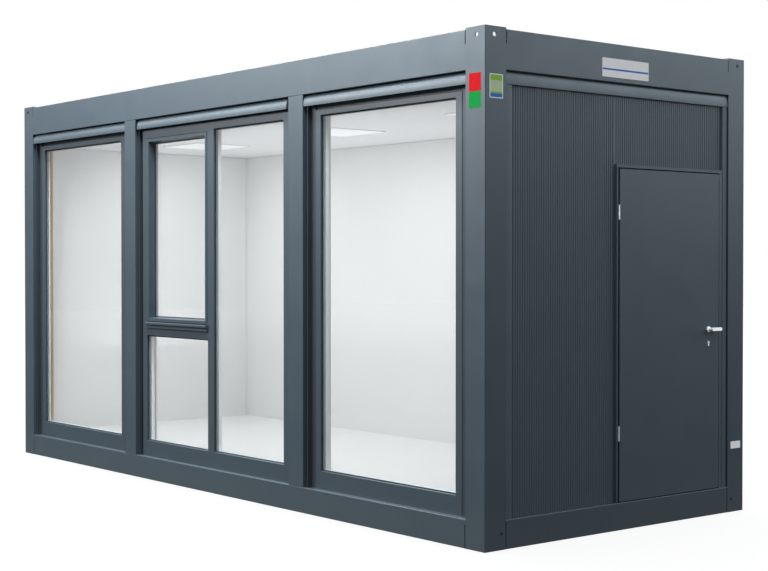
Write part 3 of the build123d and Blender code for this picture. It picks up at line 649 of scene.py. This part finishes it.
lock_y = 2.056 - half_w
lock_level = 1.171
plug_deep = 0.0012
for kind, out, way in (("outside", half_l + 0.0040, 1), ("inside", half_l - 0.0510, -1)):
    select_none()
    bpy.ops.mesh.primitive_cylinder_add(
        vertices=32, radius=0.0064, depth=plug_deep,
        location=(out + way * plug_deep / 2, lock_y, lock_level), rotation=(0, way * pi / 2, 0),
    )
    barrel = bpy.context.object
    open_piece(barrel, f"lock_plug_{kind}")
    pick_faces(barrel, lambda centre, normal: normal.z > 0.9)
    bpy.ops.mesh.inset(thickness=0.0030)
    bpy.ops.transform.resize(
        value=(1, 0.35, 1.2), center_override=(out + way * plug_deep, lock_y, lock_level)
    )
    push(0, 0, -0.0008)
    bpy.ops.object.mode_set(mode="OBJECT")
    barrel.data.materials.append(satin)
    barrel.data.materials.append(black_rubber)
    slot_faces = [face for face in barrel.data.polygons if face.select]
    for face in slot_faces:
        face.material_index = 1
    finish_piece(barrel, "door", [], 0.0002)

# ---- Signs and plates
# Self adhesive film and thin printed plates on the outer faces, all plain: a pale border with
# fields of one colour. The film is smooth and glossier than the paint round it.
# Each film also glows a little in its own colour: painted light that keeps it bright in shade.
film_edge = 0.0008


def printed_film(name, code, rough=0.35, painted_glow=0.0):
    """Printed film: even ink with a faint mottle, slight waves, and a painted glow in its own colour
    that keeps it bright in shade.
    """
    material, tree, shader = new_material(name, Roughness=rough, Specular_IOR_Level=0.2)
    place = object_place(tree)
    ink = tone(code)
    worn = [v * 0.9 + 0.02 for v in ink[:3]] + [1]
    colour = blend(tree, noise(tree, place, 35.0, 4.0), ink, worn)
    tree.links.new(colour, shader.inputs["Base Color"])
    # The ink colour also feeds the emission: a painted glow, not a lamp.
    tree.links.new(colour, shader.inputs["Emission Color"])
    shader.inputs["Emission Strength"].default_value = painted_glow
    raise_bumps(tree, shader, noise(tree, place, 25.0), 0.15, 0.0004)
    return material


def sign(name, centre, wide, tall, turn, border, finishes, bands=()):
    """Plate lying on a face: rounded corners, a border, a field, and bands across the field."""
    select_none()
    bpy.ops.mesh.primitive_plane_add(size=1, location=centre, rotation=turn)
    plate = bpy.context.object
    open_piece(plate, name)
    bpy.ops.transform.resize(value=(wide, tall, 1), orient_type="LOCAL", center_override=centre)
    bpy.ops.mesh.select_mode(type="VERT")
    bpy.ops.mesh.bevel(offset=0.004, segments=3, affect="VERTICES")
    bpy.ops.mesh.select_mode(type="FACE")
    bpy.ops.mesh.select_all(action="SELECT")
    push(0, 0, film_edge)
    pick_faces(plate, lambda spot, normal: normal.z > 0.9 and spot.z > film_edge / 2)
    bpy.ops.mesh.inset(thickness=border)
    for finish in finishes:
        plate.data.materials.append(finish)
    bpy.ops.object.mode_set(mode="OBJECT")
    for face in plate.data.polygons:
        face.material_index = 1 if face.select else 0
    bpy.ops.object.mode_set(mode="EDIT")
    for low, high, index in bands:
        for share in (low, high):
            height = centre[2] + (share - 0.5) * (tall - 2 * border)
            pick_faces(plate, lambda spot, normal: normal.z > 0.9 and spot.z > film_edge / 2)
            bpy.ops.mesh.bisect(plane_co=(0, 0, height), plane_no=(0, 0, 1))
        bpy.ops.object.mode_set(mode="OBJECT")
        for face in plate.data.polygons:
            up = (face.center.y / (tall - 2 * border)) + 0.5
            if face.material_index > 0 and low < up < high:
                face.material_index = index
        bpy.ops.object.mode_set(mode="EDIT")
    return finish_piece(plate, "cabin", [])


# The glow strengths below are painted light that keeps each film and plate bright in shade.
red_film = printed_film("red_sign_film", "#E8101E", painted_glow=0.6)
green_film = printed_film("green_sign_film", "#08AA4C", painted_glow=0.55)
leaf_green = printed_film("leaf_green_film", "#83B548", painted_glow=0.2)
pale_green = printed_film("pale_green_film", "#B9CFA9", painted_glow=0.15)
white_film = printed_film("white_film", "#DDE2E6", painted_glow=0.3)
blue_film = printed_film("blue_film", "#2A62AC", painted_glow=0.35)
plate_grey = printed_film("anodised_plate_print", "#D6DADE", 0.4, 0.32)

post_x = (2.8875 + 2.9905) / 2
pair_wide = 0.103
pair = (("red_sign", 2.772, 0.108, red_film), ("green_sign", 2.6685, 0.097, green_film))
for name, level, tall, film in pair:
    sign(name, (post_x, -half_w, level), pair_wide, tall, facing_front, 0.003, [film, film])
sign(
    "post_label", (half_l, 0.089 - half_w, 2.7475), 0.108, 0.143, facing_door, 0.005,
    [white_film, leaf_green, blue_film, pale_green], [(0.0, 0.17, 2), (0.25, 0.75, 3)],
)
sign(
    "beam_plate", (half_l, 1.223 - half_w, 2.9375), 0.438, 0.119, facing_door, 0.004,
    [plate_grey, plate_grey, blue_film], [(0.36, 0.46, 2)],
)
sign(
    "rating_plate", (half_l, 2.351 - half_w, 0.4585), 0.104, 0.049, facing_door, 0.003,
    [plate_grey, white_film],
)
